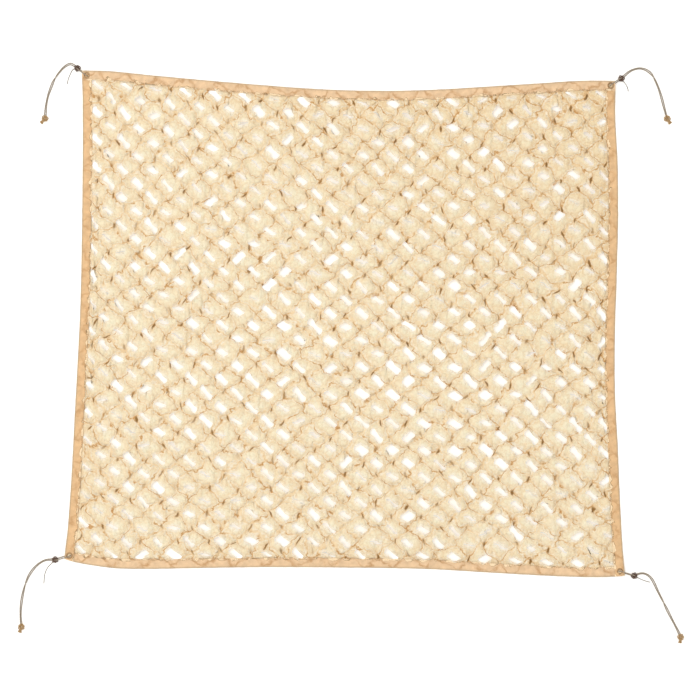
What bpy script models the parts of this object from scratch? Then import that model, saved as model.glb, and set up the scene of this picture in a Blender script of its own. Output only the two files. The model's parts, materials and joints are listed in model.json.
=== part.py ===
"""A camouflage net: slit cloth pulled open into slanted gaps, bound with folded tape and tied at its corners.

Metres, +Z up. The net lies on z = 0, with the middle of its box over the origin. Each piece is first laid
out square, as (s, t): s runs from the left edge and t from the bottom edge. place() then pulls the square
to the uneven outline that the cloth takes.
"""

import math
import random

import bmesh
import bpy
from mathutils import Vector
from mathutils.bvhtree import BVHTree

MM = 0.001
GAP = 0.3 * MM                 # left between pieces that touch

# The square lay-out, over the binding.
WIDTH = 1210 * MM
HEIGHT = 1090 * MM
CELLS = 18                     # cells of the slit pattern along each side, with a gap at each inner crossing

# The binding: tape folded over the rim of the net.
TAPE_WIDTH = 21 * MM
TAPE_THICKNESS = 2.8 * MM
TAPE_PLY = 0.5 * MM
GROOVE_DEPTH = 9.5 * MM
GROOVE_START = 23.5 * MM       # the groove begins this far from each corner
CORNER_ROUND = 7 * MM
CORNER_LIFT = 5 * MM           # the ties hold the corners this far off the ground

# The net.
NET_THICKNESS = 1.2 * MM
NET_RIM = 12 * MM              # from the outer edge of the tape to the rim of the net
NET_NOTCH = 24 * MM            # the rim stops this far from each corner
NET_FLOOR = TAPE_PLY + GAP     # underside of the rim, inside the tape
SLOT_LENGTH = 33 * MM
SLOT_WIDTH = 14 * MM
SLOT_TILT = math.radians(41)   # the long way of a gap runs down to the right
TURNED_SHARE = 0.12            # of the gaps that lean the other way
LIP_HEIGHT = 12 * MM           # highest curled lip
LOBE_HEIGHT = 11 * MM
SEED = 11

# The eyelets.
EYELET_INSET = 10.5 * MM
EYELET_HOLE = 4.5 * MM
EYELET_BARREL = 5.5 * MM
EYELET_FLANGE = 7.8 * MM
FLANGE_THICKNESS = 0.7 * MM
EYELET_STEPS = 16

# The ties.
CORD = 2.5 * MM
THIN_CORD = 1.6 * MM
STRAND_APART = 1.45 * MM       # from the middle of the pair to each strand
LOOP_RADIUS = 5 * MM
LOOP_CENTRE = 2.3 * MM         # from the middle of the eyelet, towards the knot
POINT_SPACING = 7.5 * MM
KNOT_HEIGHT = 11 * MM
END_KNOT_HEIGHT = 9.5 * MM
KNOT_RADIUS = 7.8 * MM
END_KNOT_RADIUS = 7 * MM
TAIL_LENGTH = 9 * MM
KNOT_RIDGE = 0.13               # share of a knot's radius

# Outline of the tape's outer edge, mm. The sides run from bottom to top, the other two from left to right.
TOP_EDGE = (
    (-590, 569.5), (-520, 568), (-430, 559), (-310, 548), (-180, 537), (-50, 528),
    (80, 524.5), (200, 527), (320, 534), (440, 541.5), (530, 547), (608, 546),
)
BOTTOM_EDGE = (
    (-630, -528), (-588, -539), (-530, -548), (-460, -551), (-330, -549), (-180, -547), (0, -548),
    (180, -551), (340, -560), (470, -567), (560, -569.5), (630, -566),
)
LEFT_EDGE = (
    (-630, -528), (-623, -460), (-615, -350), (-608, -220), (-601, -90),
    (-595, 30), (-592, 150), (-590, 290), (-589, 430), (-590, 569.5),
)
RIGHT_EDGE = (
    (630, -566), (625, -500), (619, -390), (614, -270), (608, -150),
    (608, -20), (612, 110), (615, 240), (614, 360), (609, 460), (608, 546),
)

# One row for each tie, mm: its knot, the way its two strands run, its end knot, where its three cut ends
# point, and the way of its thin free end.
TIES = {
    "top_left": {
        "knot": (-601, 575),
        "run": ((-608, 581), (-618, 585), (-631, 578), (-643, 565), (-654, 548),
                (-662, 529), (-668, 511), (-672, 490), (-673.5, 472)),
        "end_knot": (-674, 462),
        "cut_ends": ((-689, 456), (-686, 450), (-679, 446)),
        "free_end": ((-611, 573), (-617, 563), (-622, 551), (-624, 540)),
    },
    "top_right": {
        "knot": (622, 552),
        "run": ((629, 558), (638, 566), (649, 572), (663, 575), (677, 572), (689, 563),
                (698, 549), (706, 531), (712.5, 511), (718, 490), (723, 471)),
        "end_knot": (725, 462),
        "cut_ends": ((739, 455), (734, 450), (727, 447)),
        "free_end": ((629, 544), (634, 537), (637, 530), (638, 523)),
    },
    "bottom_left": {
        "knot": (-651, -530),
        "run": ((-661, -530), (-675, -532), (-689, -540), (-701, -552), (-711, -567), (-718, -584),
                (-723, -602), (-727, -623), (-729, -643), (-729, -661), (-728, -672)),
        "end_knot": (-727, -681),
        "cut_ends": ((-738, -691), (-732, -695), (-725, -696)),
        "free_end": ((-660, -539), (-669, -549), (-675, -564), (-677, -584)),
    },
    "bottom_right": {
        "knot": (651, -566),
        "run": ((659, -563), (670, -561), (682, -565), (693, -577), (705, -602),
                (719, -630), (733, -658), (745, -681), (752, -695)),
        "end_knot": (755.5, -704),
        "cut_ends": ((748, -718), (754, -719), (761, -718)),
        "free_end": ((660, -571), (673, -577), (687, -581)),
    },
}


class SmoothCurve:
    """A smooth curve through the given points, read by the share of its length."""

    STEPS = 24

    def __init__(self, points):
        knots = [Vector(point) for point in points]
        knots = [2 * knots[0] - knots[1], *knots, 2 * knots[-1] - knots[-2]]
        self.points = []
        for before, start, end, after in zip(knots, knots[1:], knots[2:], knots[3:]):
            for step in range(self.STEPS):
                self.points.append(self.between(before, start, end, after, step / self.STEPS))
        self.points.append(knots[-2])
        self.reach = [0.0]
        for here, there in zip(self.points, self.points[1:]):
            self.reach.append(self.reach[-1] + (there - here).length)
        self.length = self.reach[-1]

    @staticmethod
    def between(before, start, end, after, share):
        """A Catmull-Rom curve's point between start and end."""
        slope = (end - before) * share
        bend = (2 * before - 5 * start + 4 * end - after) * share ** 2
        twist = (3 * start - before - 3 * end + after) * share ** 3
        return start + 0.5 * (slope + bend + twist)

    def at(self, share):
        """The point at a share, 0 to 1, of the curve's length."""
        wanted = min(max(share, 0.0), 1.0) * self.length
        low = 0
        high = len(self.reach) - 1
        while high - low > 1:
            middle = (low + high) // 2
            if self.reach[middle] <= wanted:
                low = middle
            else:
                high = middle
        part = (wanted - self.reach[low]) / (self.reach[high] - self.reach[low])
        return self.points[low].lerp(self.points[high], part)

    def direction(self, share):
        """The way that the curve runs at a share of its length."""
        step = 0.002
        return (self.at(share + step) - self.at(share - step)).normalized()


def in_metres(points):
    return [Vector(point) * MM for point in points]


TOP = SmoothCurve(in_metres(TOP_EDGE))
BOTTOM = SmoothCurve(in_metres(BOTTOM_EDGE))
LEFT = SmoothCurve(in_metres(LEFT_EDGE))
RIGHT = SmoothCurve(in_metres(RIGHT_EDGE))


def place(s, t):
    """Where a point of the square lay-out lies in the pulled net, as x and y."""
    u = s / WIDTH
    v = t / HEIGHT
    across = TOP.at(u) * v + BOTTOM.at(u) * (1 - v)
    upward = RIGHT.at(v) * u + LEFT.at(v) * (1 - u)
    top_corners = TOP.at(1) * u + TOP.at(0) * (1 - u)
    bottom_corners = BOTTOM.at(1) * u + BOTTOM.at(0) * (1 - u)
    return across + upward - top_corners * v - bottom_corners * (1 - v)


def lift(s, t):
    """How far the ties lift a point: fully at a corner, and not at all from the first line of gaps on."""
    share = 1.0
    for reach, length in ((s, WIDTH), (t, HEIGHT)):
        from_end = min(reach, length - reach)
        slope_end = length / CELLS
        share *= min(max((slope_end - from_end) / (slope_end - GROOVE_START), 0.0), 1.0)
    return CORNER_LIFT * share


def pull_to_shape(bm):
    """Take a mesh laid out as (s, t, height) to its place in the pulled net."""
    for vert in bm.verts:
        s, t, height = vert.co
        vert.co = (*place(s, t), height + lift(s, t))


def material(name, colour, roughness, metallic=0.0):
    made = bpy.data.materials.new(name)
    made.use_nodes = True
    shader = made.node_tree.nodes["Principled BSDF"]
    shader.inputs["Base Color"].default_value = (*colour, 1)
    shader.inputs["Roughness"].default_value = roughness
    shader.inputs["Metallic"].default_value = metallic
    return made


def add_object(name, bm, finish):
    """A new object from a mesh that has its place in its points, with its faces pointing out."""
    bmesh.ops.recalc_face_normals(bm, faces=bm.faces)
    if bm.calc_volume(signed=True) < 0:
        bmesh.ops.reverse_faces(bm, faces=bm.faces)
    mesh = bpy.data.meshes.new(name)
    bm.to_mesh(mesh)
    bm.free()
    mesh.materials.append(finish)
    made = bpy.data.objects.new(name, mesh)
    bpy.context.collection.objects.link(made)
    return made


def extrude(bm, faces, keep=False):
    """Extrude faces in place, returning the new faces and verts. The old faces stay only if keep is set."""
    drawn = bmesh.ops.extrude_face_region(bm, geom=faces, use_keep_orig=keep)
    left = [face for face in faces if face.is_valid]
    if not keep and left:
        bmesh.ops.delete(bm, geom=left, context="FACES")
    new_faces = [part for part in drawn["geom"] if isinstance(part, bmesh.types.BMFace)]
    new_verts = [part for part in drawn["geom"] if isinstance(part, bmesh.types.BMVert)]
    return new_faces, new_verts


def pattern_lines(length):
    """The lines of gaps across one side, without the edges."""
    return [length * line / CELLS for line in range(1, CELLS)]


def net_lines(length):
    """Lines of the net's grid across one side: the rim, the tape's edge, and each line of gaps."""
    return [NET_RIM, NET_NOTCH, *pattern_lines(length), length - NET_NOTCH, length - NET_RIM]


def lay_grid(bm, columns, rows):
    """A grid of quads with its lines at the given columns and rows, returned as verts by (column, row)."""
    made = bmesh.ops.create_grid(bm, x_segments=len(columns) - 1, y_segments=len(rows) - 1, size=0.5)
    crossing = {}
    for vert in made["verts"]:
        column = round((vert.co.x + 0.5) * (len(columns) - 1))
        row = round((vert.co.y + 0.5) * (len(rows) - 1))
        vert.co = (columns[column], rows[row], 0)
        crossing[column, row] = vert
    return crossing


def openness(s, t):
    """How far the cloth is pulled open: less towards the top right, where it is bunched."""
    return 1.08 - 0.3 * (s / WIDTH) * (t / HEIGHT) ** 1.5


def shape_gap(face, chance):
    """Move the four corners of a gap to a slanted slot, with its upper lip curled up."""
    middle = face.calc_center_median()
    pull = openness(middle.x, middle.y)
    half_length = SLOT_LENGTH / 2 * pull * chance.uniform(0.78, 1.12)
    half_width = SLOT_WIDTH / 2 * pull * chance.uniform(0.6, 1.25)
    tilt = SLOT_TILT + math.radians(chance.uniform(-9, 9))
    turned = chance.random() < TURNED_SHARE
    lip = LIP_HEIGHT * chance.uniform(0.5, 1.0)
    low = LIP_HEIGHT * max(chance.uniform(-0.25, 0.3), 0.0)
    along = Vector((math.cos(tilt), -math.sin(tilt), 0)) * half_length
    across = Vector((math.sin(tilt), math.cos(tilt), 0)) * half_width
    corner = {
        "left": (-along - across, low * 0.4),
        "right": (along + across, lip),
        "up": (across - along, lip * 0.8),
        "down": (along - across, low),
    }
    for vert in face.verts:
        way = vert.co - middle
        if abs(way.x) > abs(way.y):
            side = "right" if way.x > 0 else "left"
        else:
            side = "up" if way.y > 0 else "down"
        if turned:
            partner = {"left": "right", "right": "left"}.get(side, side)
            offset, height = corner[partner]
            offset = Vector((-offset.x, offset.y, 0))
        else:
            offset, height = corner[side]
        vert.co = (*(middle + offset).xy, height)


def make_net(finish):
    """The slit cloth: a warped sheet with one slanted gap cut through it in each repeat of the pattern."""
    chance = random.Random(SEED)
    bm = bmesh.new()
    columns = net_lines(WIDTH)
    rows = net_lines(HEIGHT)
    crossing = lay_grid(bm, columns, rows)
    for vert in bm.verts:
        vert.co.z = NET_FLOOR
    corner_faces = [face for face in bm.faces if min(
        (face.calc_center_median().xy - Vector((s, t))).length
        for s in (NET_RIM, WIDTH - NET_RIM)
        for t in (NET_RIM, HEIGHT - NET_RIM)
    ) < NET_NOTCH - NET_RIM]
    bmesh.ops.delete(bm, geom=corner_faces, context="FACES")

    last = len(columns) - 3
    centres = [crossing[column, row] for row in range(2, last + 1) for column in range(2, last + 1)]
    cut = bmesh.ops.bevel(
        bm, geom=centres, offset=SLOT_WIDTH / 2, offset_type="OFFSET",
        segments=1, profile=0.5, affect="VERTICES", material=-1,
    )
    gaps = sorted(cut["faces"], key=lambda face: tuple(round(c, 4) for c in face.calc_center_median().yx))
    for face in gaps:
        shape_gap(face, chance)
    bmesh.ops.delete(bm, geom=gaps, context="FACES_ONLY")

    lobes = bmesh.ops.poke(bm, faces=[face for face in bm.faces if len(face.verts) > 4])
    for vert in lobes["verts"]:
        vert.co.z = LOBE_HEIGHT * chance.uniform(0.15, 1.0)

    _, upper_side = extrude(bm, list(bm.faces), keep=True)
    bmesh.ops.translate(bm, vec=(0, 0, NET_THICKNESS), verts=upper_side)
    pull_to_shape(bm)
    return add_object("net", bm, finish)


# For each strip of tape: which way it runs, and how much is taken off its two ends.
STRIPS = {
    "binding_top": {"edge": "top", "cut": (0, 0)},
    "binding_left": {"edge": "left", "cut": (0, TAPE_WIDTH + GAP)},
    "binding_right": {"edge": "right", "cut": (0, TAPE_WIDTH + GAP)},
    "binding_bottom": {"edge": "bottom", "cut": (TAPE_WIDTH + GAP, TAPE_WIDTH + GAP)},
}


def lay_strip(edge, along, across):
    """A strip's point in the square lay-out."""
    return {
        "top": (along, HEIGHT - across),
        "bottom": (along, across),
        "left": (across, along),
        "right": (WIDTH - across, along),
    }[edge]


def make_strip(name, edge, cut, finish):
    """A strip of folded tape: solid where it carries an eyelet, grooved where it holds the net's rim."""
    length = WIDTH if edge in ("top", "bottom") else HEIGHT
    stations = [cut[0], GROOVE_START, *pattern_lines(length), length - GROOVE_START, length - cut[1]]
    plies = [0, TAPE_PLY, TAPE_THICKNESS - TAPE_PLY, TAPE_THICKNESS]
    bm = bmesh.new()
    lay_grid(bm, stations, plies)
    for vert in bm.verts:
        vert.co = (vert.co.x, TAPE_WIDTH, vert.co.y)
    _, outer = extrude(bm, list(bm.faces), keep=True)
    bmesh.ops.translate(bm, vec=(0, -TAPE_WIDTH, 0), verts=outer)

    def is_groove(face):
        middle = face.calc_center_median()
        inner = middle.y > TAPE_WIDTH - GAP
        between_plies = plies[1] < middle.z < plies[2]
        return inner and between_plies and GROOVE_START < middle.x < length - GROOVE_START

    _, bottom_of_groove = extrude(bm, [face for face in bm.faces if is_groove(face)])
    bmesh.ops.translate(bm, vec=(0, -GROOVE_DEPTH, 0), verts=bottom_of_groove)

    # The fold itself is plain, so its ply lines go.
    def is_ply_line(line):
        start, end = (vert.co for vert in line.verts)
        level = abs(start.z - end.z) < GAP and plies[0] + GAP / 2 < start.z < plies[-1] - GAP / 2
        return level and min(start.y, end.y) < GAP

    ply_edges = [line for line in bm.edges if is_ply_line(line)]
    bmesh.ops.dissolve_edges(bm, edges=ply_edges, use_verts=True)

    rounded = [
        line for line in bm.edges
        if all(vert.co.y < GAP for vert in line.verts)
        and any(
            taken == 0 and all(abs(vert.co.x - end) < GAP for vert in line.verts)
            for taken, end in zip(cut, (0, length))
        )
    ]
    if rounded:
        bmesh.ops.bevel(
            bm, geom=rounded, offset=CORNER_ROUND, offset_type="OFFSET",
            segments=3, profile=0.5, affect="EDGES", material=-1,
        )
    for vert in bm.verts:
        vert.co = (*lay_strip(edge, vert.co.x, vert.co.y), vert.co.z)
    pull_to_shape(bm)
    return add_object(name, bm, finish)


def eyelet_centre(corner):
    """The middle of a corner's eyelet, as x and y."""
    s = EYELET_INSET if corner.endswith("left") else WIDTH - EYELET_INSET
    t = EYELET_INSET if corner.startswith("bottom") else HEIGHT - EYELET_INSET
    return place(s, t)


def punch(strip, corner):
    """Cut the hole for a corner's eyelet through a strip of tape."""
    bm = bmesh.new()
    bmesh.ops.create_cone(
        bm, cap_ends=True, segments=EYELET_STEPS, radius1=EYELET_BARREL + 2 * GAP,
        radius2=EYELET_BARREL + 2 * GAP, depth=4 * (CORNER_LIFT + TAPE_THICKNESS),
    )
    bmesh.ops.translate(bm, vec=(*eyelet_centre(corner), 0), verts=bm.verts)
    cutter = add_object("punch_" + corner, bm, strip.data.materials[0])
    cutter.hide_render = True
    cutter.display_type = "WIRE"
    hole = strip.modifiers.new("eyelet_hole_" + corner, "BOOLEAN")
    hole.operation = "DIFFERENCE"
    hole.solver = "EXACT"
    hole.object = cutter


def make_eyelet(corner, finish):
    """A turned metal ring through the tape, with a flange on each face."""
    bottom = CORNER_LIFT - GAP - FLANGE_THICKNESS
    top = CORNER_LIFT + TAPE_THICKNESS + GAP + FLANGE_THICKNESS
    profile = (
        (EYELET_HOLE, bottom),
        (EYELET_FLANGE, bottom),
        (EYELET_FLANGE, bottom + FLANGE_THICKNESS),
        (EYELET_BARREL, bottom + FLANGE_THICKNESS),
        (EYELET_BARREL, top - FLANGE_THICKNESS),
        (EYELET_FLANGE, top - FLANGE_THICKNESS),
        (EYELET_FLANGE, top),
        (EYELET_HOLE, top),
    )
    bm = bmesh.new()
    verts = [bm.verts.new((radius, 0, height)) for radius, height in profile]
    lines = [bm.edges.new(pair) for pair in zip(verts, verts[1:] + verts[:1])]
    bmesh.ops.spin(
        bm, geom=verts + lines, cent=(0, 0, 0), axis=(0, 0, 1),
        angle=math.tau, steps=EYELET_STEPS, use_merge=True,
    )
    bmesh.ops.translate(bm, vec=(*eyelet_centre(corner), 0), verts=bm.verts)
    made = add_object("eyelet_" + corner, bm, finish)
    made.data.shade_smooth()
    made.data.set_sharp_from_angle(angle=math.radians(40))
    return made


def make_knot(name, middle, radius, height, cut_ends, finish):
    """A tight knot as a lump with the ridges of its turns, flat where it lies, with its cut ends drawn out."""
    bm = bmesh.new()
    bmesh.ops.create_uvsphere(bm, u_segments=12, v_segments=8, radius=1)
    for vert in bm.verts:
        way = vert.co.normalized()
        round_about = math.atan2(way.y, way.x)
        ridge = 1 - KNOT_RIDGE + KNOT_RIDGE * math.cos(3 * round_about + 2.2 * way.z)
        level = max(way.z * height / 2 * 1.08, -height / 2)
        vert.co = (way.x * radius * ridge, way.y * radius * ridge, level + height / 2)
    low_sides = [face for face in bm.faces if 0.3 * height < face.calc_center_median().z < 0.5 * height]
    for target in cut_ends:
        way = (Vector(target) * MM - middle.xy).normalized()
        side = max(low_sides, key=lambda face: face.calc_center_median().xy.normalized().dot(way))
        low_sides.remove(side)
        for share in (0.5, 1.0):
            side = draw_out(bm, side, way, share)
    bmesh.ops.translate(bm, vec=(*middle.xy, 0), verts=bm.verts)
    made = add_object(name, bm, finish)
    made.data.shade_smooth()
    return made


def draw_out(bm, face, way, share):
    """Extrude one face of a knot into the next half of a cut end, as thick as the cord and lying down."""
    (tip,), verts = extrude(bm, [face])
    middle = tip.calc_center_median()
    spread = CORD / 2 / max((vert.co - middle).length for vert in verts)
    goal = middle + Vector((way.x, way.y, 0)) * TAIL_LENGTH / 2
    goal.z = CORD / 2 + (middle.z - CORD / 2) * (0.35 if share < 1 else 0)
    for vert in verts:
        vert.co = goal + (vert.co - middle) * spread
        vert.co.z = max(vert.co.z, 0)
    return tip


def is_clear(tree, point, direction, radius):
    """Whether the end of a cord at a point stays a gap away from a knot."""
    side = direction.cross(Vector((0, 0, 1))).normalized()
    up = side.cross(direction)
    rim = [
        point + radius * (math.cos(turn) * side + math.sin(turn) * up)
        for turn in (math.tau * step / 8 for step in range(8))
    ]
    for place_on_end in [point, *rim]:
        near, normal, _, distance = tree.find_nearest(place_on_end)
        if (place_on_end - near).dot(normal) < 0 or distance < GAP:
            return False
    return True


def clear_share(curve, tree, radius, from_end):
    """The first share of a curve, read from one of its ends, that is clear of the knot there."""
    steps = 1500
    for step in range(steps):
        share = 1 - step / steps if from_end else step / steps
        if is_clear(tree, curve.at(share), curve.direction(share), radius):
            return share
    raise ValueError("a cord never leaves its knot")


def make_cord(name, route, diameter, start_knot, end_knot, finish):
    """A round cord along a route that starts inside one knot and may end inside another."""
    curve = SmoothCurve(route)
    radius = diameter / 2
    first = clear_share(curve, tree_of(start_knot), radius, False)
    last = clear_share(curve, tree_of(end_knot), radius, True) if end_knot else 1.0
    spacing = min(POINT_SPACING, 3 * diameter)
    spans = max(round((last - first) * curve.length / spacing), 4)
    if start_knot is end_knot:
        spans *= 2                     # the tight turn of the loop needs closer points
    cord = bpy.data.curves.new(name, "CURVE")
    cord.dimensions = "3D"
    cord.bevel_depth = radius
    cord.bevel_resolution = 2
    cord.use_fill_caps = True
    spline = cord.splines.new("POLY")
    spline.points.add(spans)
    for step, point in enumerate(spline.points):
        point.co = (*curve.at(first + (last - first) * step / spans), 1)
    cord.materials.append(finish)
    made = bpy.data.objects.new(name, cord)
    bpy.context.collection.objects.link(made)
    return made


def tree_of(knot):
    return BVHTree.FromPolygons(
        [vert.co for vert in knot.data.vertices],
        [side.vertices for side in knot.data.polygons],
    )


def loop_route(eyelet, knot):
    """From the knot over the tape, down through the eyelet, and back along the ground to the knot."""
    ahead = (knot - eyelet).normalized()
    side = Vector((-ahead.y, ahead.x))
    length = (knot - eyelet).length
    middle = CORNER_LIFT + TAPE_THICKNESS / 2
    half_gap = STRAND_APART * 0.9
    rows = [(length, 0.6, 7.2 * MM), (length - 6 * MM, 0.9, 9.3 * MM), (length - 11 * MM, 1.0, 10.8 * MM)]
    rows.append((9 * MM, 1.0, middle + LOOP_RADIUS))
    for step in range(7):
        turn = math.pi / 2 + math.pi * step / 6
        reach = LOOP_CENTRE + LOOP_RADIUS * math.cos(turn)
        rows.append((reach, 1 - step / 3, middle + LOOP_RADIUS * math.sin(turn)))
    rows.append((9 * MM, -1.0, middle - LOOP_RADIUS))
    rows += [(length - 11 * MM, -1.0, 1.6 * MM), (length - 6 * MM, -0.9, 2.4 * MM), (length, -0.6, 3.6 * MM)]
    return [
        (*(eyelet + ahead * reach + side * (half_gap * share)), height)
        for reach, share, height in rows
    ]


def ground_route(points, diameter, entries, offset=0.0):
    """A route along the ground through points in x and y, rising into the knots named in entries."""
    flat = SmoothCurve(points)
    rest = diameter / 2 + 0.05 * MM
    entry_height = 3.4 * MM
    rise_length = 13 * MM
    count = 2 * len(points)
    route = []
    for step in range(count + 1):
        share = step / count
        near = min(
            [share * flat.length] * ("start" in entries) + [(1 - share) * flat.length] * ("end" in entries)
        )
        rise = max(1 - near / rise_length, 0.0) ** 2
        ahead = flat.direction(share)
        aside = Vector((-ahead.y, ahead.x)) * offset
        route.append((*(flat.at(share) + aside), rest + (entry_height - rest) * rise))
    return route


def make_tie(corner, row, cord_finish, knot_finish):
    """A corner's tie: the loop, two knots, two strands between them, and a thin free end."""
    knot_at = Vector(row["knot"]) * MM
    end_at = Vector(row["end_knot"]) * MM
    name = "tie_" + corner + "_"
    knot = make_knot(name + "knot", knot_at, KNOT_RADIUS, KNOT_HEIGHT, (), knot_finish)
    end_knot = make_knot(
        name + "end_knot", end_at, END_KNOT_RADIUS, END_KNOT_HEIGHT, row["cut_ends"], knot_finish,
    )
    make_cord(name + "link", loop_route(eyelet_centre(corner), knot_at), CORD, knot, knot, cord_finish)
    run = [knot_at, *in_metres(row["run"]), end_at]
    for strand, side in (("strand_a", 1), ("strand_b", -1)):
        route = ground_route(run, CORD, ("start", "end"), side * STRAND_APART)
        make_cord(name + strand, route, CORD, knot, end_knot, cord_finish)
    loose = [knot_at, *in_metres(row["free_end"])]
    make_cord(name + "free_end", ground_route(loose, THIN_CORD, ("start",)), THIN_CORD, knot, None, cord_finish)


def main():
    for old in list(bpy.data.objects):
        bpy.data.objects.remove(old)
    cloth = material("woven_polyester", (0.87, 0.70, 0.48), 0.75)
    tape = material("folded_tape", (0.75, 0.53, 0.33), 0.7)
    metal = material("lacquered_brass", (0.30, 0.20, 0.12), 0.35, 1.0)
    cord = material("braided_cord", (0.28, 0.23, 0.19), 0.8)
    knots = material("knotted_cord", (0.15, 0.09, 0.06), 0.8)
    make_net(cloth)
    strips = {
        name: make_strip(name, row["edge"], row["cut"], tape)
        for name, row in STRIPS.items()
    }
    carried_by = {
        "top_left": "binding_top",
        "top_right": "binding_top",
        "bottom_left": "binding_left",
        "bottom_right": "binding_right",
    }
    for corner, strip in carried_by.items():
        punch(strips[strip], corner)
        make_eyelet(corner, metal)
        make_tie(corner, TIES[corner], cord, knots)


main()
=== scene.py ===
"""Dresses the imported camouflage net: slit cloth, folded binding tape, eyelets, tied cords and a pale floor.

Metres, +Z up. The net is first laid out square, as (s, t): s runs from the left edge and t from the bottom
edge. place() then takes a point to the uneven outline that the pulled cloth has.
"""

import json
import math
import random

import bmesh
import bpy
import numpy as np
from mathutils import Matrix, Vector, noise

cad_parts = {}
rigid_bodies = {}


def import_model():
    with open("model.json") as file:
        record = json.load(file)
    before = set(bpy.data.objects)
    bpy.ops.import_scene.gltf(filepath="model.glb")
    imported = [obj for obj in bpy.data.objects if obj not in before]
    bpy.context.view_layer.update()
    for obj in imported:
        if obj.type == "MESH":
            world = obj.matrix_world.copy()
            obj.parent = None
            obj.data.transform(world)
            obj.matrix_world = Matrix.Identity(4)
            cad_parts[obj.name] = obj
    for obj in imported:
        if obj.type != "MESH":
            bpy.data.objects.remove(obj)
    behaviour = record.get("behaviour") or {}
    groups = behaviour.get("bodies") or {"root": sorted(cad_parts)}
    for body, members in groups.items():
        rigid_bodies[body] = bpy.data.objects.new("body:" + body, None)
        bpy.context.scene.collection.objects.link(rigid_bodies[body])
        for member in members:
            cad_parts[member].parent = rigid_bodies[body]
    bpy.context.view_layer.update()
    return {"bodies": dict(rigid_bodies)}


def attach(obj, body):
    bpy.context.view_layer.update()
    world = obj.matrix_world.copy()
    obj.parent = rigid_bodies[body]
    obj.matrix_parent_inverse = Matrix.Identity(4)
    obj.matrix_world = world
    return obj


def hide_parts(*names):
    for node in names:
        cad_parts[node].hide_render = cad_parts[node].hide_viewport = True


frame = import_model()

bl_info = {
    "name": "Camouflage net",
    "version": (1, 0, 0),
    "blender": (4, 5, 0),
    "location": "View3D > Sidebar > Net",
    "description": "Makes a small slit-cloth camouflage net with its binding, eyelets and corner ties",
    "category": "Object",
}

MM = 0.001
BODY = next(iter(frame["bodies"]))
NOISE_SEED = 11

# The square lay-out, over the binding.
WIDTH = 1210 * MM
HEIGHT = 1090 * MM
CELLS = 18                     # repeats of the slit pattern along each side
HALF_REPEATS = 2 * CELLS       # the slits of one row lie half a repeat off those of the next
CORNER_LIFT = 5 * MM           # the ties hold the corners this far off the ground
LIFT_START = 23.5 * MM         # from the edge in to here they hold a corner up fully

# Outline of the tape's outer edge, mm. The sides run from bottom to top, the other two from left to right.
TOP_EDGE = (
    (-590, 569.5), (-520, 568), (-430, 559), (-310, 548), (-180, 537), (-50, 528),
    (80, 524.5), (200, 527), (320, 534), (440, 541.5), (530, 547), (608, 546),
)
BOTTOM_EDGE = (
    (-630, -528), (-588, -539), (-530, -548), (-460, -551), (-330, -549), (-180, -547), (0, -548),
    (180, -551), (340, -560), (470, -567), (560, -569.5), (630, -566),
)
LEFT_EDGE = (
    (-630, -528), (-623, -460), (-615, -350), (-608, -220), (-601, -90),
    (-595, 30), (-592, 150), (-590, 290), (-589, 430), (-590, 569.5),
)
RIGHT_EDGE = (
    (630, -566), (625, -500), (619, -390), (614, -270), (608, -150),
    (608, -20), (612, 110), (615, 240), (614, 360), (609, 460), (608, 546),
)

# The net's cloth. It is cut wide and short, and pulled out in length until its slits open.
COLUMNS = 10                   # quads across each half repeat
ROWS = 7                       # quads up each half repeat
PINNED = 20 * MM               # the binding holds the cloth this far in from its outer edge
NET_LOW = 0.4 * MM             # the cloth stays between these heights
NET_HIGH = 21 * MM
LEAST_GAP = 3.0                # half the height of an open gap stays between these, mm
MOST_GAP = 14.0
LIP_ROWS = 2.3                 # painted light on the lip of a gap fades out over this many rows of quads
CELL_ALONG = 31.5 * MM         # half the length and half the width of a puffed cell
CELL_ACROSS = 25 * MM
SPARE_CELLS = 4                # half repeats of the lattice kept beyond the net's edges
CELL_JITTER = 0.32             # how far the drawn cells stray from their lattice, as a share of a cell

# The binding.
TAPE_THICKNESS = 2.8 * MM
TAPE_PLY = 0.5 * MM
TAPE_STEP = 2.6 * MM
CORNER_ROUND = 7 * MM
SEAM_GAP = 0.3 * MM            # between two tapes that meet at a corner
SEAM_INSET = 2.2 * MM          # the stitches lie this far from the tape's inner edge
STITCH_GAP = 0.9 * MM

# The eyelets. Half of the section, mm, from the hole round the rolled flange: distance out and height.
EYELET_INSET = 10.5 * MM
EYELET_BARREL = 5.5 * MM
HOLE_CUT = 5.2 * MM            # tape nearer the eyelet's middle than this is cut away
HOLE_LEAST = 4.4 * MM          # its verts between these distances are drawn onto the barrel
HOLE_MOST = 6.6 * MM
EYELET_SECTION = (
    (4.5, 0.9), (4.72, 1.65), (5.3, 2.2), (6.1, 2.4), (6.9, 2.32), (7.5, 2.02), (7.8, 1.62), (7.4, 1.45),
    (6.3, 1.46), (5.5, 1.25),
)
EYELET_CORNERS = ("top_left", "top_right", "bottom_left", "bottom_right")

# The cords.
PLY_OUT = 0.268                # from a cord's line to the line of a ply, as a share of the cord's diameter
PLY_RADIUS = 0.232             # a share too
OFF_GROUND = 0.05 * MM
KNOT_ENTRY = 3.4 * MM          # height at which a cord enters its knot
KNOT_CLIMB = 13 * MM           # it leaves the ground this far from the knot
KNOT_MIDDLE = 4.3 * MM
STRAND_APART = 1.45 * MM
LOOP_RADIUS = 5 * MM
LOOP_CENTRE = 2.3 * MM

# The last part of a loop before its knot, for its half over the tape (1) and under it (-1): how far it is
# from the knot, mm, its share of the gap between the halves, and its height, mm.
LOOP_ENDS = {
    1: ((11, 1.0, 10.8), (6, 0.9, 9.3), (0, 0.6, 6.0)),
    -1: ((11, -1.0, 1.6), (6, -0.9, 2.4), (0, -0.6, 3.6)),
}

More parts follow.
